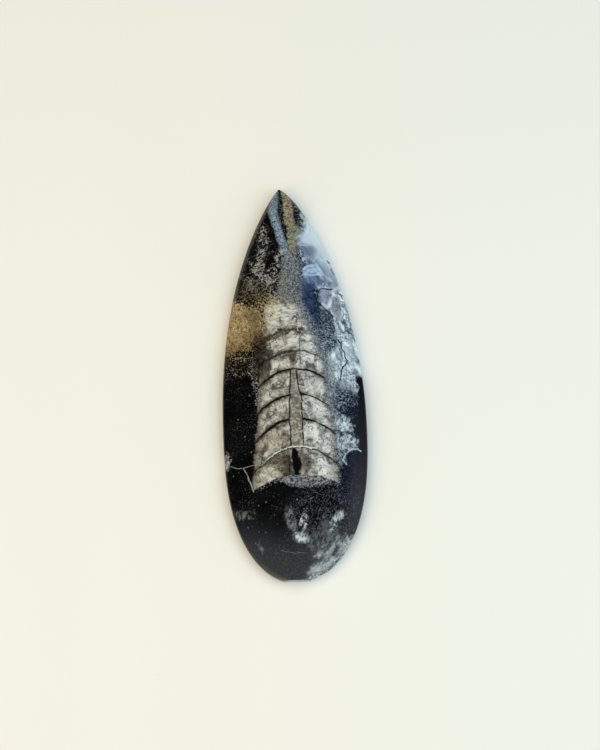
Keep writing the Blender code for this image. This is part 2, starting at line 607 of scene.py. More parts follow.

# %% [markdown]
# ## The tan patch: a painted warm reflection
#
# The left shoulder is tan, a warm reflection painted over the speckled stone. Its border is speckled:
# fine noise added to a soft mask before the threshold frays the border and leaves the middle whole. Olive
# grains are scattered above the patch, and tan and grey ones below it.

# %% Tan patch, painted reflection
olive_zone = fade(rough_y, 15.2, 11.5) * fade(rough_y, 8.5, 10.5) * fade(rough_x, -1.2, -2.6)
colour = lay(olive_zone * fade(fine, 0.47, 0.6) * 0.9, (112, 102, 76), colour)
tan_slope = rough_y - 0.33 * rough_x  # the tan patch's lower border climbs to the right
tan_top = fade(rough_y + 0.35 * rough_x, 10.5, 6.3)
tan_reach = tan_top * fade(tan_slope, 3.5, 9.9) * fade(x + 0.1 * y, -2.2, -3.8)
tan_cover = fade(tan_reach + (fine - 0.5) * 1.6, 0.36, 0.54)
# painted reflection: the tan is a warm reflection painted on the left shoulder; its dark and pale specks are
# the stone's grain
painted_tan_reflection = two_tone(medium, 0.36, 0.62, (216, 191, 145), (126, 102, 62))
painted_tan_reflection = lay(fade(grain(1.7, 2), 0.42, 0.6) * 0.5, (156, 130, 98), painted_tan_reflection)
painted_tan_reflection = lay(spot((-4.6, 8.4), (1.3, 2.6), soft=0.7) * 0.8, (98, 80, 48), painted_tan_reflection)
painted_tan_reflection = lay(fade(tan_slope, 9.2, 6.2) * 0.85, (88, 66, 40), painted_tan_reflection)
painted_tan_reflection = lay(fade(fine, 0.52, 0.38) * 0.85, (82, 66, 40), painted_tan_reflection)
painted_tan_reflection = lay(fade(fine, 0.56, 0.68), (214, 196, 156), painted_tan_reflection)
colour = lay(tan_cover, painted_tan_reflection, colour)
painted("painted tan reflection")

# %% Grains below the tan patch
sparse_tan_grains = fade(tan_slope, 2.0, 5.5) * tan_top * fade(x, -3.8, -4.6) * fade(fine, 0.52, 0.62)
colour = lay(sparse_tan_grains * 0.8, (120, 108, 84), colour)
border_zone = strokes([(-4.9, 3.4), (-5.1, 1.4), (-4.8, 0.0), (-4.9, -3.4)], 0.9, 0.7, rough_place)
colour = lay(border_zone * fade(fine, 0.5, 0.62), (158, 156, 150), colour)
row_zone = larger(
    streak((-8.9, 3.0), (-5.4, 2.8), 0.5, 0.8, rough_place),
    strokes([(-8.6, 1.6), (-7.4, 1.0), (-5.4, 1.0)], 0.5, 0.8, rough_place) * 0.7,
)
colour = lay(row_zone * fade(fine, 0.5, 0.62), (140, 134, 118), colour)
painted("grains below the tan reflection")

# %% [markdown]
# ## The upper middle: grey ridge, painted blue reflection and brown streak
#
# Above the fossil the limestone is grey and grainy, in a wedge that narrows upwards: a sum on x and y,
# frayed like the tan patch. A blue-grey band, a painted reflection, and a brown streak, both bent strokes,
# run on from it to the tip.

# %% Grey ridge
ridge_gap = 4.7 - 0.22 * y - abs(x - 0.35) + 1.6 * (fine - 0.5)
ridge_zone = fade(ridge_gap, -0.35, 0.35) * fade(rough_y, 20.5, 17.6) * fade(rough_y, 8.0, 10.0)
ridge = two_tone(fine, 0.38, 0.64, (138, 142, 146), (58, 64, 71))
ridge = lay(spot((-0.95, 13.0), (0.5, 2.4)) * fade(medium, 0.4, 0.55) * 0.55, (112, 112, 82), ridge)
colour = lay(ridge_zone, ridge, colour)
painted("grey ridge")

# %% Blue band
BLUE_REFLECTION_BAND = [
    (-1.5, 26.8), (-1.6, 25.8), (-1.85, 23.9), (-1.45, 22.1), (-0.9, 19.9), (-0.3, 17.9), (0.0, 16.2),
]

# painted reflection: the blue-grey band is a reflection painted along the tip's slope, broken up by the
# grain
reflection_band_tone = two_tone(fine, 0.38, 0.6, (152, 170, 186), (74, 90, 104))
reflection_band_fade = fade(y, 15.2, 20.4)
colour = lay(strokes(BLUE_REFLECTION_BAND, 0.76, 1.0) * fade(fine, 0.3, 0.46) * reflection_band_fade, reflection_band_tone, colour)
grey_grains = fade(fine, 0.48, 0.62) * spot((-0.7, 23.5), (0.7, 3.6), heading=10, soft=0.4)
colour = lay(grey_grains * 0.8, (84, 92, 98), colour)
painted("blue band")

# %% Brown streak
brown = strokes([(0.05, 27.0), (0.25, 25.5), (0.3, 24.6), (0.4, 22.3)], 1.15, 0.4)
brown_tone = two_tone(fine, 0.4, 0.6, (178, 166, 144), (86, 78, 64))
brown_tone = lay(spot((0.45, 24.2), (0.4, 1.5), at=rough_place) * 0.4, (142, 114, 98), brown_tone)
colour = lay(brown * fade(fine, 0.28, 0.4), brown_tone, colour)
moss = strokes([(0.5, 22.3), (0.9, 21.2), (1.0, 19.9), (0.85, 18.7)], 1.3, 0.5, rough_place)
moss_tone = two_tone(grain(0.32, 3, 0.7, 1.0), 0.4, 0.6, (156, 154, 130), (76, 74, 60))
colour = lay(moss * 0.9, moss_tone, colour)
tip_shadow = strokes([(1.1, 26.0), (1.6, 24.4), (2.0, 22.6)], 0.85, 0.7) * fade(medium, 0.34, 0.5)
tip_shadow_tone = two_tone(grain(0.32, 3, 0.7), 0.48, 0.62, (140, 148, 148), (22, 32, 42))
colour = lay(tip_shadow, tip_shadow_tone, colour)
painted("brown streak")

# %% [markdown]
# ## The right: milky calcite and a painted sheen
#
# The right shoulder is a pocket of bluish calcite. Towards the tip it is milky, pale at the rim and deeper
# inwards, with slanting fibres and the outlines of a few crystals in it. The paleness at the rim is partly a
# painted reflection of a cool window on the shoulder. It is mixed as a colour of its own, and then laid on
# the stone inside its borders.

# %% Milk
milk_and_sheen_zone = left_of((2.75, 24.0), (1.3, 18.4), 0.7) * left_of((1.0, 18.4), (2.3, 11.4), 0.5)
milk_and_sheen_zone = milk_and_sheen_zone * fade(rough_y, 11.4, 12.6) * fade(rough_y, 24.6, 23.0)
# painted reflection: the blue-white paleness towards the rim stands in for a cool window mirrored on the
# shoulder, over milky calcite
milk_and_sheen = two_tone(0.6 * x + 0.5 * (y - 18), 0.4, 3.8, (218, 234, 246), (60, 80, 114))
milk_and_sheen = lay(fade(fibres(0.8, 2.6, -60, 4), 0.44, 0.68) * 0.65, (208, 222, 238), milk_and_sheen)
milk_and_sheen = lay(fade(fibres(0.5, 3.0, -60, 4), 0.46, 0.34) * 0.25, (122, 144, 176), milk_and_sheen)
milk_and_sheen = lay(spot((2.4, 18.1), (1.3, 0.75), soft=0.6, at=line_place) * 0.75, (84, 96, 128), milk_and_sheen)
milk_and_sheen = lay(streak((1.4, 18.95), (3.4, 18.8), 0.15) * 0.6, (198, 190, 204), milk_and_sheen)
milk_and_sheen = lay(spot((1.9, 14.4), (0.5, 2.6), heading=8, soft=0.5) * 0.8, (32, 44, 72), milk_and_sheen)
milk_and_sheen = lay(spot((3.2, 13.3), (1.7, 0.9), soft=0.5, at=line_place) * 0.75, (84, 106, 142), milk_and_sheen)
painted("milk_and_sheen")

# %% Crystals in the milk
CRYSTALS = {
    "lobe": [(1.8, 14.7), (2.4, 15.6), (3.3, 16.0), (4.25, 15.7), (4.8, 14.6)],
    "inner lobe": [(2.4, 14.6), (2.8, 15.2), (3.6, 15.4), (4.2, 14.7)],
    "base": [(1.9, 14.45), (4.8, 14.5)],
    "peaks": [(3.4, 16.5), (4.0, 17.2), (4.6, 16.6), (5.5, 17.2)],
}

lobe = spot((3.3, 14.6), (1.45, 1.35), soft=0.15, at=line_place) * fade(y, 14.4, 14.55)
milk_and_sheen = lay(lobe * 0.85, two_tone(fibres(0.4, 3, 10), 0.38, 0.62, (188, 206, 230), (128, 152, 190)), milk_and_sheen)
for points in CRYSTALS.values():
    milk_and_sheen = lay(strokes(points, 0.2, 0.9) * 0.32, (210, 224, 240), milk_and_sheen)
squiggle_zone = spot((1.6, 16.7), (0.75, 1.0), soft=0.5)
milk_and_sheen = lay(squiggle_zone * 0.85, (34, 42, 62), milk_and_sheen)
milk_and_sheen = lay(worms(0.5, 0.07) * squiggle_zone, (180, 190, 208), milk_and_sheen)
colour = lay(milk_and_sheen_zone, milk_and_sheen, colour)
painted("milky calcite")

# %% [markdown]
# ## Cracked calcite
#
# Lower down the calcite is broken like glass: white where the cracks crowd, and clear in the blocks
# between them. Steep fibres and thin curls make the crowded part. Three blocks are drawn by their corners,
# because noise would never give their straight sides.

# %% Cracked calcite
glass_zone = fade(rough_y, 13.4, 12.4) * fade(rough_y, -2.6, -1.0) * left_of((3.5, 13.5), (4.6, 1.0), 0.4)
glass = two_tone(fibres(0.8, 2.0, -72, 4), 0.38, 0.6, (230, 241, 248), (106, 126, 146))
glass = lay(fade(grain(0.35, 2, 0.6, 0.6), 0.52, 0.64) * 0.5, (214, 224, 230), glass)
glass = lay(worms(1.3, 0.02, 0.4) * 0.75, (46, 58, 74), glass)
colour = lay(glass_zone, glass, colour)
painted("cracked calcite")

# %% Clear blocks
cloudy = fade(medium, 0.36, 0.64)
lilac_block = inside([(3.74, 10.6), (4.6, 10.1), (5.15, 9.7), (5.95, 11.85), (5.65, 12.5), (4.15, 12.3)])
colour = lay(lilac_block, lay(cloudy, (158, 166, 188), (112, 122, 144)), colour)
grey_block = inside([(5.6, 9.6), (6.4, 7.7), (6.95, 8.1), (7.25, 10.0), (6.9, 11.5), (6.05, 11.6)], 0.25)
colour = lay(grey_block, lay(cloudy, (154, 162, 170), (108, 118, 128)), colour)
clear_block = inside([(7.0, 4.5), (7.5, 2.6), (7.9, 1.9), (8.9, 2.5), (8.5, 4.3)], soft=0.2)
colour = lay(clear_block * 0.8, lay(cloudy, (190, 206, 214), (140, 158, 170)), colour)
for points in [[(6.0, 12.3), (7.1, 13.0)], [(5.8, 11.1), (5.2, 9.8), (4.6, 10.3)]]:
    colour = lay(strokes(points, 0.34, 0.9) * 0.6, (210, 220, 230), colour)
painted("clear blocks")

# %% [markdown]
# ## The navy shadow
#
# Between the calcite and the fossil the stone is clear and deep, a dark navy with pale specks in it that
# grow whiter downwards. Two dark lines run round the lilac block beside it.

# %% Navy shadow
NAVY_CORNERS = [
    (3.6, 2.0), (6.5, 4.0), (6.45, 6.0), (6.3, 7.4), (5.9, 8.5), (5.1, 9.4), (3.4, 10.6), (2.0, 10.8),
]

navy_zone = larger(inside(NAVY_CORNERS, 0.5), spot((2.9, 11.4), (1.0, 1.6), heading=10, soft=0.6))
navy_specks = fade(grain(0.3, 2, 0.7, 1.4), 0.49, 0.6)
navy = lay(navy_specks * fade(y, 11.0, 3.5), (172, 190, 206), (7, 14, 30))
navy = lay(navy_specks * 0.35, (92, 116, 148), navy)
navy = lay(fade(x + 0.12 * y, 5.0, 4.4), two_tone(medium, 0.4, 0.6, (48, 67, 98), (21, 34, 60)), navy)
colour = lay(navy_zone * 0.95, navy, colour)
colour = lay(strokes([(3.75, 10.6), (4.4, 10.1), (5.1, 9.4), (5.9, 8.5)], 0.22) * 0.8, (14, 22, 36), colour)
colour = lay(strokes([(3.75, 11.6), (4.2, 12.4), (5.9, 12.6)], 0.17, 0.8) * 0.9, (18, 24, 36), colour)
painted("navy shadow")

# %% [markdown]
# ## Pale patches and speckles
#
# Down the right side the crushed calcite thins out, first to granular patches and then to loose speckles
# on the black. Both are spots filled with a grain of their own.

# %% Pale patches
granular = two_tone(grain(0.34, 3, 0.7, 0.8), 0.42, 0.58, (206, 218, 226), (92, 110, 126))
patches = larger(
    spot((7.2, 5.8), (1.15, 0.6), heading=-15, soft=0.4),
    spot((5.6, 1.1), (1.3, 1.4), heading=10, soft=0.5) * 0.65,
    spot((7.8, -0.3), (1.0, 1.6), heading=14, soft=0.4),
)
colour = lay(patches * 0.85, granular, colour)
speckle_zone = larger(
    spot((6.2, -2.6), (2.1, 1.9), soft=0.4),
    spot((5.9, -4.6), (0.7, 1.6), heading=4, soft=0.6) * 0.8,
)
speckles = fade(grain(0.3, 2, 0.7, 0.8), 0.49, 0.62)
colour = lay(speckle_zone * (0.55 + 0.35 * speckles), lay(speckles, (140, 156, 168), (26, 36, 52)), colour)
painted("pale patches")

# %% [markdown]
# ## The seam and the rim
#
# One dark crack runs down through the calcite, and it is broken here and there, so its stroke is
# multiplied by a noise. Short dark dashes mark the rim, where the calcite ends in black stone.

# %% Seam and rim
SEAM = [
    (6.4, 5.2), (6.8, 4.7), (6.85, 4.0), (7.25, 3.4), (7.2, 2.8),
    (7.55, 2.2), (6.95, 1.4), (6.7, 0.5), (6.45, -0.6),
]
RIM_DASHES = [
    [(5.4, 16.8), (5.7, 16.4)],
    [(6.0, 15.6), (6.3, 14.8)],
    [(7.0, 12.0), (7.4, 11.3)],
    [(7.5, 6.7), (8.3, 6.2)],
]

colour = lay(strokes(SEAM, 0.15, 0.7) * fade(medium, 0.24, 0.36), (22, 28, 38), colour)
for points in RIM_DASHES:
    colour = lay(strokes(points, 0.14, 0.8) * 0.75, (30, 38, 50), colour)
rim_dark = larger(spot((7.9, 8.2), (0.4, 0.7), soft=0.6), spot((8.3, 6.8), (0.6, 0.5), soft=0.6))
colour = lay(rim_dark * fade(fine, 0.44, 0.56) * 0.85, (44, 56, 68), colour)
colour = lay(fade(rough_x, 8.2, 8.8) * fade(rough_y, 0.8, -0.2), (8, 11, 18), colour)
painted("seam and rim")

# %% [markdown]
# ## Wisps beside the fossil
#
# Beside the fossil's lower half a haze of grains follows its edge, and out of it blow white wisps like
# torn wool. They are fibres under soft spots: the noise decides where a wisp is, and the spot how likely.
# A thin vein hooks round below them.

# %% Wisps
HOOK = [(8.9, -10.4), (8.3, -10.1), (7.6, -10.1), (6.6, -10.7), (6.3, -11.5), (6.8, -12.2)]

side_haze = strokes([(5.4, -3.5), (5.6, -8.0), (5.9, -11.4)], 1.0, 0.8, rough_place)
haze_tone = two_tone(medium, 0.36, 0.6, (122, 138, 148), (52, 62, 72))
colour = lay(side_haze * fade(fine, 0.4, 0.56) * 0.8, haze_tone, colour)
wisp_tone = two_tone(fibres(0.45, 1.5, 66, 5, 0.72), 0.4, 0.6, (218, 230, 238), (74, 92, 108))
wisps = larger(
    spot((6.5, -6.8), (1.15, 1.1), heading=20, soft=0.6) * 0.95,
    spot((7.0, -9.2), (1.4, 1.1), heading=10, soft=0.6) * 0.75,
    spot((5.9, -8.6), (0.6, 3.2), heading=4, soft=0.8) * 0.35,
)
colour = lay(wisps * fade(medium + 0.4 * wisps, 0.5, 0.78), wisp_tone, colour)
colour = lay(strokes(HOOK, 0.16, 0.7) * fade(fine, 0.32, 0.48) * 0.9, (176, 192, 200), colour)
painted("wisps")

# %% [markdown]
# ## The fossil
#
# The cone of the shell is cut lengthwise, and its sides draw together towards the tip. Each side is a sum
# that is above zero inside the shell. The walls between the chambers are bowls, and a bowl cut through its
# middle is nearly a parabola: add the parabola to the height, and each wall becomes a single level.

# %% The cone
BOWL_DEPTH = 0.087  # how far a wall drops, in millimetres per square millimetre from its axis
BOWL_AXIS = 0.35
MOUTH_LEVEL = -13.5
MOUTH_DEPTH = 0.045  # the mouth is a flatter bowl

from_axis = x - BOWL_AXIS
squared = from_axis * from_axis
wall_height = y + BOWL_DEPTH * squared
upper = larger(y - 0.5, 0.0)
left_edge = 0.5 * (x + rough_x) + 4.62 - 0.095 * y
right_edge = 4.9 - 0.05 * y - 0.15 * upper - 0.02 * upper * upper - x
mouth = y + MOUTH_DEPTH * squared - MOUTH_LEVEL
shell = fade(left_edge, -0.12, 0.2) * fade(right_edge + 1.8 * (fine - 0.5), -0.5, 0.5)
shell = shell * fade(mouth, -0.12, 0.12) * fade(y + 0.12 * squared + 3.0 * (fine - 0.5), 11.9, 10.4)
painted("cone")

# %% [markdown]
# ## Calcite in the chambers
#
# The calcite is mottled, painted warm on the left and cold and bright on the right: a painted tint of the
# warm and cool side lights. Two tones of it are mixed with the same mottling and parted by a soft border.
# Cleaner, whiter places and brown corners are spots.

# %% Chamber calcite
PALE_SPOTS = {  # centre: half-sizes
    (0.1, 4.8): (0.75, 0.5),
    (2.1, 4.2): (0.75, 0.6),
    (-1.8, 1.5): (0.75, 0.5),
    (3.1, -1.45): (1.0, 1.05),
    (-3.2, -2.6): (0.9, 0.7),
    (3.2, -4.8): (0.9, 0.9),
    (2.0, -7.6): (0.7, 0.8),
    (4.4, -13.3): (0.9, 0.8),
    (2.9, -12.2): (1.0, 0.7),
}

mottle = grain(1.1, 4, 0.62, 0.5)
blotch = grain(1.9, 3, 0.6, 0.3)
# painted light: the warm left tone and the cooler, brighter right tone tint one calcite as the warm and cool
# side lights would
warm = two_tone(mottle, 0.34, 0.62, (198, 193, 182), (90, 86, 77))
cold = two_tone(mottle, 0.34, 0.62, (216, 218, 216), (88, 89, 89))
calcite = lay(fade(rough_x, -0.8, 2.4), cold, warm)
calcite = lay(fade(grain(0.5, 3, 0.6, 0.8), 0.46, 0.34) * 0.65, (84, 79, 70), calcite)
for centre, size in PALE_SPOTS.items():
    calcite = lay(spot(centre, size, soft=0.5, at=line_place) * 0.5, (216, 217, 211), calcite)
cream = spot((-3.1, -8.8), (1.7, 0.8), heading=25, soft=0.6, at=line_place)
calcite = lay(cream * 0.45, (186, 172, 150), calcite)
calcite = lay(spot((-3.7, -13.0), (1.4, 0.9), heading=25, soft=0.6) * 0.4, (214, 208, 192), calcite)
painted("chamber calcite")

# %% Corners and cracks
corner_shade = larger(
    spot((-1.5, -8.3), (0.5, 1.5), soft=0.7) * 0.6,
    spot((-4.7, -10.0), (0.9, 0.9), soft=0.7) * 0.65,
    spot((-4.6, -12.2), (1.4, 0.4), heading=30, soft=0.7) * 0.6,
)
calcite = lay(corner_shade * fade(mottle, 0.66, 0.4), (66, 58, 48), calcite)
cracks = larger(worms(1.7, 0.022), worms(0.9, 0.028, 0.7) * fade(blotch, 0.46, 0.58) * 0.85)
calcite = lay(cracks * 0.7, (58, 51, 43), calcite)
painted("corners and cracks")

# %% [markdown]
# ## The top of the fossil
#
# The cut leaves the shell near its narrow end, so the walls there are only faint arcs in pale calcite.
# Noise stretched nearly crosswise draws them. The first wall that shows is broad and smoky.

# %% Top of the fossil
FIRST_WALL = 6.6  # its height where it crosses the axis

white_top = fade(y, 6.9, 8.0) * fade(y, 10.6, 9.6) * fade(mottle, 0.36, 0.5)
calcite = lay(white_top * 0.85, (212, 211, 206), calcite)
arcs = fade(abs(fibres(0.5, 5.0, 3, 3) - 0.5), 0.06, 0.015) * fade(y, 6.9, 7.6)
calcite = lay(arcs * 0.65, (92, 86, 78), calcite)
calcite = lay(fade(rough_y, 9.6, 11.2) * fade(fine, 0.56, 0.44), (78, 81, 86), calcite)
first_wall = fade(abs(wall_height - FIRST_WALL) - 2.2 * (medium - 0.5), 0.75, 0.1) * fade(x, 4.0, 1.4)
calcite = lay(first_wall * 0.95, two_tone(fine, 0.42, 0.62, (84, 77, 67), (26, 23, 19)), calcite)
painted("top of the fossil")

# %% [markdown]
# ## The walls between the chambers
#
# Each wall is a dark line with brown dirt along it, more of it on the left. One loop draws them all, since
# they differ only in height and darkness. The line swells and thins with the blotches, as a wall does that
# was partly dissolved before the calcite grew.

# %% Shell walls
WALLS = {3.6: 0.75, 1.05: 1.0, -2.45: 1.0, -5.8: 1.0, -9.75: 0.9}  # height on the axis: darkness

left_half = fade(x, 1.5, -1.5)
line_half = 0.05 + 0.45 * larger(blotch - 0.4, 0.0) + 0.05 * left_half
for level, darkness in WALLS.items():
    from_wall = abs(wall_height - level)
    dirt = fade(from_wall - 2.2 * (medium - 0.5), 0.8, 0.0) * (0.36 + 0.4 * left_half)
    calcite = lay(dirt * darkness, (46, 39, 32), calcite)
    calcite = lay(fade(from_wall - line_half, 0.08, -0.04) * darkness, (22, 18, 15), calcite)
edge_shade = larger(fade(left_edge, 1.1, 0.1) * 0.7, fade(right_edge, 1.2, 0.2) * 0.45)
calcite = lay(edge_shade * fade(mottle, 0.3, 0.6), (60, 55, 50), calcite)
painted("shell walls")

# %% [markdown]
# ## The siphuncle
#
# The tube that ran through all the chambers shows as two dark lines down the middle, widening towards the
# mouth, with grey between them. Both lines are one mask: the distance to the tube's middle, compared with
# half its width.

# %% Siphuncle
tube_half = 0.36 + 0.48 * fade(y, 1.5, -4.5)
tube_middle = 0.12 + 0.1 * fade(y, 0, -4)
from_tube = abs(x - tube_middle)
tube_run = fade(wall_height, 1.1, 0.95) * fade(wall_height, -9.8, -9.6)
inner = fade(from_tube - tube_half, 0.1, -0.1) * tube_run
tube_fill = two_tone(grain(0.7, 4, 0.65, 1.0), 0.38, 0.62, (168, 161, 152), (92, 87, 80))
tube_fill = lay(worms(0.7, 0.04) * 0.5, (66, 60, 54), tube_fill)
calcite = lay(inner * 0.9, tube_fill, calcite)
tube_breaks = fade(medium + 0.3 * left_half, 0.36, 0.48)
tube_line = fade(abs(from_tube - tube_half), 0.16, 0.05) * tube_run * tube_breaks
calcite = lay(tube_line * 0.95, (24, 20, 17), calcite)
calcite = lay(spot((0.05, 2.5), (0.32, 0.9), soft=0.6, at=line_place) * 0.8, (54, 42, 32), calcite)
calcite = lay(streak((1.08, 6.2), (1.1, 1.4), 0.18) * 0.6, (56, 50, 44), calcite)
painted("siphuncle")

# %% [markdown]
# ## The last chamber
#
# The last chamber was open when the shell was buried. It is stained brown round the tube, and black mud
# plugged the tube's end. With that the calcite is complete, and it is laid on the stone inside the shell.

# %% Last chamber
chamber_shade = larger(
    spot((-2.6, -11.3), (2.0, 0.6), heading=14, soft=0.7) * 0.8,
    spot((-1.3, -12.2), (1.2, 1.6), soft=0.5) * 0.95,
    spot((1.1, -11.8), (0.9, 1.4), soft=0.7) * 0.75,
)
shade_tone = two_tone(fibres(0.28, 3.0, 5), 0.4, 0.6, (88, 79, 62), (42, 36, 28))
calcite = lay(chamber_shade, shade_tone, calcite)
calcite = lay(streak((-0.95, -10.9), (-0.95, -13.4), 0.16) * 0.8, (24, 20, 16), calcite)
plug = larger(
    strokes([(-0.25, -10.2), (-0.35, -11.2), (0.05, -12.2), (0.0, -13.2)], 0.62, 0.3),
    spot((0.1, -12.1), (0.58, 1.1), soft=0.3, at=line_place),
    spot((0.05, -13.5), (0.45, 0.5), soft=0.4, at=line_place),
    spot((-0.05, -10.9), (0.35, 0.8), soft=0.3, at=line_place),
)
calcite = lay(plug, (7, 6, 6), calcite)
colour = lay(shell, calcite, colour)
painted("last chamber")

# %% [markdown]
# ## Where the fossil meets the stone
#
# A fossil isn't cut out with scissors. Grains straddle its right edge, brown limestone bulges over its left
# edge, and the painted tan reflection, with a painted cream highlight, spreads on to its top. So these go on
# last, over calcite and stone.

# %% Borders
border_grains = fade(abs(right_edge + 0.15), 1.1, 0.3) * fade(y, 10.6, 8.6) * fade(y, -9.0, -3.0)
colour = lay(border_grains * 0.7, lay(navy_specks, (164, 173, 180), (66, 77, 92)), colour)
brown_bulge = spot((-4.1, 3.1), (1.1, 3.3), soft=0.4)
bulge_tone = two_tone(medium, 0.42, 0.64, (66, 57, 43), (19, 16, 12))
colour = lay(brown_bulge * 0.9, bulge_tone, colour)
# painted reflection: the warm tan reflection runs on in grains over the top of the fossil
tan_over_fossil = left_of((-3.7, 5.6), (-1.5, 11.0), 1.0) * fade(rough_y, 4.8, 6.4) * fade(rough_y, 12.0, 10.5)
tan_over_fossil = tan_over_fossil * fade(x, -5.0, -4.0) * fade(fine, 0.44, 0.58)
colour = lay(tan_over_fossil * 0.65, (160, 144, 112), colour)
# painted highlight: the cream highlight of the warm reflection, broken into grains
painted_cream_highlight = spot((-2.5, 9.3), (0.8, 1.0), soft=0.7) * fade(fine, 0.4, 0.58)
colour = lay(painted_cream_highlight * 0.75, (208, 197, 162), colour)
painted("borders")

# %% [markdown]
# ## The fringe under the mouth
#
# Grey sand gathered in the shell's mouth. It hangs below the mouth in a shallow lens, deepest in the
# middle, and its lower edge crumbles into the black: the depth is a parabola with fine noise added to it.

# %% Fringe
fringe_depth = 1.65 - 0.11 * (x - 0.95) * (x - 0.95)
fringe = fade(mouth, 0.05, -0.15) * fade(mouth + fringe_depth + 1.4 * (fine - 0.5), -0.3, 0.3)
ragged_edge = fade(mouth, 0.05, -0.1) * fade(mouth, -0.75, -0.3) * fade(fine, 0.5, 0.6)
ragged_edge = ragged_edge * fade(abs(x - 0.4), 6.2, 5.4)
fringe_tone = two_tone(fibres(0.3, 1.25, 28, 4, 0.75), 0.4, 0.6, (144, 146, 149), (32, 34, 37))
colour = lay(larger(fringe, ragged_edge), fringe_tone, colour)
painted("fringe")

# %% [markdown]
# ## The white vein
#
# A crack opened in the stone long after, and white calcite healed it. It comes in from the left rim, where
# the stone is bruised white, sends a branch down to the fossil's corner and runs on along the last wall.

# %% Vein
VEIN = [(-9.9, -11.2), (-9.1, -11.75), (-8.3, -12.1), (-7.3, -12.1), (-6.1, -12.0), (-4.6, -11.85)]
BRANCH = [(-7.3, -12.15), (-6.95, -12.7), (-6.7, -13.1), (-6.55, -13.9), (-6.2, -14.5), (-5.95, -15.5)]
LAST_WALL = -9.65  # the level that the vein follows through the fossil

bruise = spot((-9.75, -11.35), (0.6, 0.9), heading=-4, soft=0.6) * fade(fine, 0.36, 0.5)
from_vein = abs(wall_height - LAST_WALL + 0.5 * (medium - 0.5))
along_wall = fade(from_vein, 0.13, 0.03) * fade(x, -5.4, -3.2) * fade(x, 3.4, 2.2) * fade(fine, 0.36, 0.5)
vein = larger(strokes(VEIN, 0.1) * 0.5, strokes(BRANCH, 0.13) * 0.65) * fade(fine, 0.32, 0.5)
colour = lay(vein, (176, 174, 166), colour)
colour = lay(bruise, two_tone(medium, 0.4, 0.6, (206, 209, 204), (112, 115, 113)), colour)
colour = lay(along_wall, (222, 219, 212), colour)
painted("vein")

# %% [markdown]
# ## Below the mouth
#
# Under the fossil the limestone holds a few soft clouds of calcite and a thin scratch. Over black even a
# faint mask looks bright and its edge hard, so the clouds' mask is squared, which softens the edge again.

# %% Soft marks
smoke = fibres(0.6, 1.6, 70, 5, 0.7)
mark_place = flat(0.5 * (x + rough_x), 0.5 * (y + rough_y))  # half as rough as rough_place
soft_marks = larger(
    spot((-1.1, -19.6), (0.6, 1.3), heading=14, soft=0.8, at=mark_place) * 0.62,
    spot((-7.4, -18.5), (1.3, 0.5), heading=-8, soft=0.9) * 0.5,
    spot((-5.3, -22.9), (0.35, 0.6), heading=20, soft=0.9) * 0.5,
    spot((0.6, -20.2), (0.4, 1.5), heading=-14, soft=0.8, at=mark_place) * fade(medium, 0.38, 0.54),
    spot((0.3, -21.8), (0.95, 0.6), heading=10, soft=0.7, at=mark_place),
    spot((5.1, -19.7), (0.5, 1.6), heading=-38, soft=0.7, at=mark_place),
    spot((3.3, -21.8), (2.0, 1.0), heading=35, soft=0.9) * 0.42,
)
marks_tone = two_tone(smoke, 0.38, 0.62, (196, 203, 208), (104, 110, 114))
colour = lay(soft_marks * soft_marks * fade(smoke, 0.36, 0.58), marks_tone, colour)
flecks = larger(fade(fine, 0.6, 0.7), worms(0.6, 0.035) * 0.6) * spot((3.8, -19.0), (4.2, 3.4), soft=0.7)
colour = lay(flecks * 0.45, (126, 132, 142), colour)
colour = lay(strokes([(-2.5, -23.5), (-1.35, -23.87), (0.9, -24.05)], 0.1) * 0.3, (130, 130, 134), colour)
painted("soft marks")

# %% [markdown]
# ## The cloud at the foot
#
# A large cloud of calcite runs along the foot's right side. It is drawn out up and to the right, so its
# noise is too. Two lines bound it, and the noise has to be higher to show the nearer it comes to them.

# %% Cloud at the foot
cloud = left_of((0.3, -29.0), (1.6, -24.4), -1.6) * left_of((1.4, -23.7), (8.6, -20.6), -1.1)
cloud = cloud * cloud
wide_smoke = fibres(1.0, 1.8, 52, 5, 0.62)
cloud_tone = two_tone(wide_smoke, 0.36, 0.66, (172, 180, 180), (42, 46, 48))
cloud_tone = lay(fade(x + y, -19.0, -16.2) * fade(medium, 0.36, 0.6) * 0.7, (196, 204, 202), cloud_tone)
cloud_tone = lay(worms(1.3, 0.025) * 0.6, (36, 40, 44), cloud_tone)
colour = lay(cloud * fade(wide_smoke + 0.45 * cloud, 0.48, 0.9), cloud_tone, colour)
painted("cloud at the foot")

# %% [markdown]
# ## The back
#
# The picture belongs to the face: it runs on down the wall and ends inside the stone, and the sawn back
# shows plain limestone with a vein of its own. A fade on the height parts the two.

# %% Back
back = two_tone(grain(2.5, 3), 0.4, 0.65, (46, 46, 48), (26, 26, 28))
back = lay(fade(fine, 0.56, 0.7) * 0.5, (104, 104, 106), back)
back_vein = fade(abs(grain(14, 3, 0.55, 0.4) - 0.5), 0.012, 0.003)
back = lay(back_vein, (188, 186, 178), back)
colour = lay(fade(z + 0.8 * (grain(3, 2) - 0.5), 0.05, 0.4), colour, back)
painted("back")

# %% [markdown]
# ## Broken stone
#
# Polish hides the grain of a stone, and a fresh break shows it, white with bruised grains. The same
# centres and radii that cut the chips paint them, a little larger, so that every chip is pale to its edge.

# %% Broken stone
BRUISE_REACH = 1.06  # how much larger than its flake the pale stone is

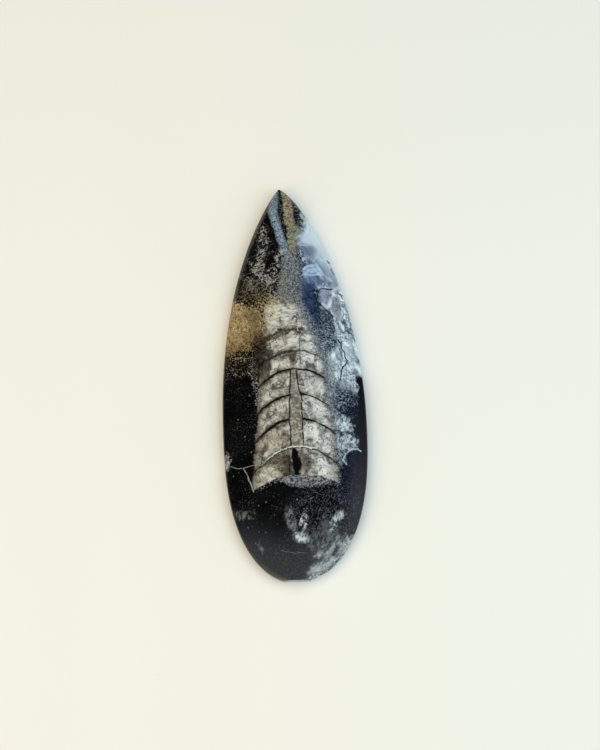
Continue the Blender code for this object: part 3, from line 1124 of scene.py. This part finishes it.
broken = 0.0
for chip in CHIPS.values():
    heading = math.radians(chip["heading"])
    lengthwise = along(plain_place, chip["at"][:2], heading, BRUISE_REACH * chip["radii"][0])
    inwards = along(plain_place, chip["at"][:2], heading + math.pi / 2, BRUISE_REACH * chip["radii"][1])
    downwards = (z - chip["at"][2]) * (1 / BRUISE_REACH / chip["radii"][2])
    from_centre = lengthwise * lengthwise + inwards * inwards + downwards * downwards
    broken = larger(broken, fade(from_centre, 1.04, 0.96))
broken_tone = two_tone(fine, 0.38, 0.64, (190, 198, 198), (72, 78, 82))
colour = lay(broken, broken_tone, colour)
painted("broken stone")

# %% [markdown]
# ## Polish
#
# The face is polished until it mirrors, the back is only sawn, and the chips are rough. All three are one
# number, the roughness, so it is the largest of three masks. A bump adds what is too fine to model.

# %% Polish
polish = 0.09 + 0.10 * fade(fine, 0.55, 0.7) + 0.05 * fade(grain(6, 2), 0.4, 0.6)
roughness = larger(polish, 0.75 * broken, 0.5 * (1 - fade(z, 0.02, 0.3)))
height = grain(0.35, 3, 0.6) * broken * 0.2 + 0.004 * fine
bump = Shade.node("ShaderNodeBump", None, {"Height": height, "Distance": MM, "Strength": 0.6})

surface = Shade.tree.nodes["Principled BSDF"]
surface.inputs["IOR"].default_value = 1.55
for name, value in {"Base Color": colour, "Roughness": roughness, "Normal": bump}.items():
    Shade.tree.links.new(value.socket, surface.inputs[name])
stone.data.materials.append(limestone)
painted("polish")

# %% [markdown]
# ## The floor
#
# The stone lies on a pale floor like unbleached cloth, far wider than the view from above. It is stage
# dressing and no part of the stone, and it lies a hair below it, so that the two don't touch.

# %% Floor
FLOOR_SIZE = 6
FLOOR_DROP = 0.02 * MM

bpy.ops.object.select_all(action="DESELECT")
bpy.ops.mesh.primitive_plane_add(size=FLOOR_SIZE, location=(0, 0, -FLOOR_DROP))
floor = bpy.context.object
floor.name = "pale_floor"
cloth = bpy.data.materials.new("pale_floor")
cloth.use_nodes = True
cloth_surface = cloth.node_tree.nodes["Principled BSDF"]
cloth_surface.inputs["Base Color"].default_value = (0.86, 0.84, 0.79, 1)
cloth_surface.inputs["Roughness"].default_value = 0.9
cloth_surface.inputs["Specular IOR Level"].default_value = 0.1
floor.data.materials.append(cloth)
print("the floor is", FLOOR_SIZE, "m wide")

# %% [markdown]
# ## The light
#
# Two large soft lights, warm on the left and cool on the right, tint the stone's sides as a window room
# would, and a very wide sun stands in for an overcast sky. None of them shows in the polish, because the
# dome would mirror them as hard white shapes.

# %% Side lights
SIDE_LIGHTS = {"warm_left": (-0.13, (1.0, 0.8, 0.42)), "cool_right": (0.13, (0.54, 0.84, 1.0))}
SIDE_LIGHT_SIZE = 0.2
SIDE_LIGHT_POWER = 0.21

for name, (across, tint) in SIDE_LIGHTS.items():
    stand = Vector((across, -0.04, 0.2))
    bpy.ops.object.light_add(type="AREA", location=stand)
    light = bpy.context.object
    light.name = name
    light.rotation_euler = stand.to_track_quat("Z", "Y").to_euler()
    light.data.shape = "SQUARE"
    light.data.size = SIDE_LIGHT_SIZE
    light.data.energy = SIDE_LIGHT_POWER
    light.data.color = tint
    light.visible_glossy = False
    print(name, "stands", round(stand.length / MM), "mm from the stone")

# %% Overcast sky
bpy.ops.object.light_add(type="SUN", rotation=(math.radians(-8), 0, 0))
sky = bpy.context.object
sky.name = "overcast_sky"
sky.data.energy = 1.3
sky.data.angle = math.radians(60)
sky.data.color = (1.0, 0.985, 0.93)
sky.visible_glossy = False
print("the sky is", round(math.degrees(sky.data.angle)), "degrees wide")

# %% [markdown]
# ## The room
#
# What the polish does mirror is the room, a dim world that glows softly beyond the foot and to the right.
# That lays a sheen along the foot and the right edge. The glow is a mask on directions instead of places.

# %% Room
world = bpy.data.worlds.new("studio")
bpy.context.scene.world = world
world.use_nodes = True
Shade.tree = world.node_tree
direction = Shade.node("ShaderNodeTexCoord", output="Generated")
towards_x, towards_y = [Shade.node("ShaderNodeSeparateXYZ", None, {0: direction}, axis) for axis in range(2)]
foot_side = fade(towards_y, -0.04, -0.4)
right_side = fade(towards_x, 0.74, 0.92) * fade(towards_y, 0.3, -0.1)
glow = 0.03 + 0.62 * larger(foot_side, right_side)
backdrop = world.node_tree.nodes["Background"]
backdrop.inputs["Color"].default_value = (0.9, 0.95, 1, 1)
world.node_tree.links.new(glow.socket, backdrop.inputs["Strength"])
bpy.context.scene.view_settings.view_transform = "Standard"
print("the room's glow takes", len(Shade.tree.nodes), "nodes")
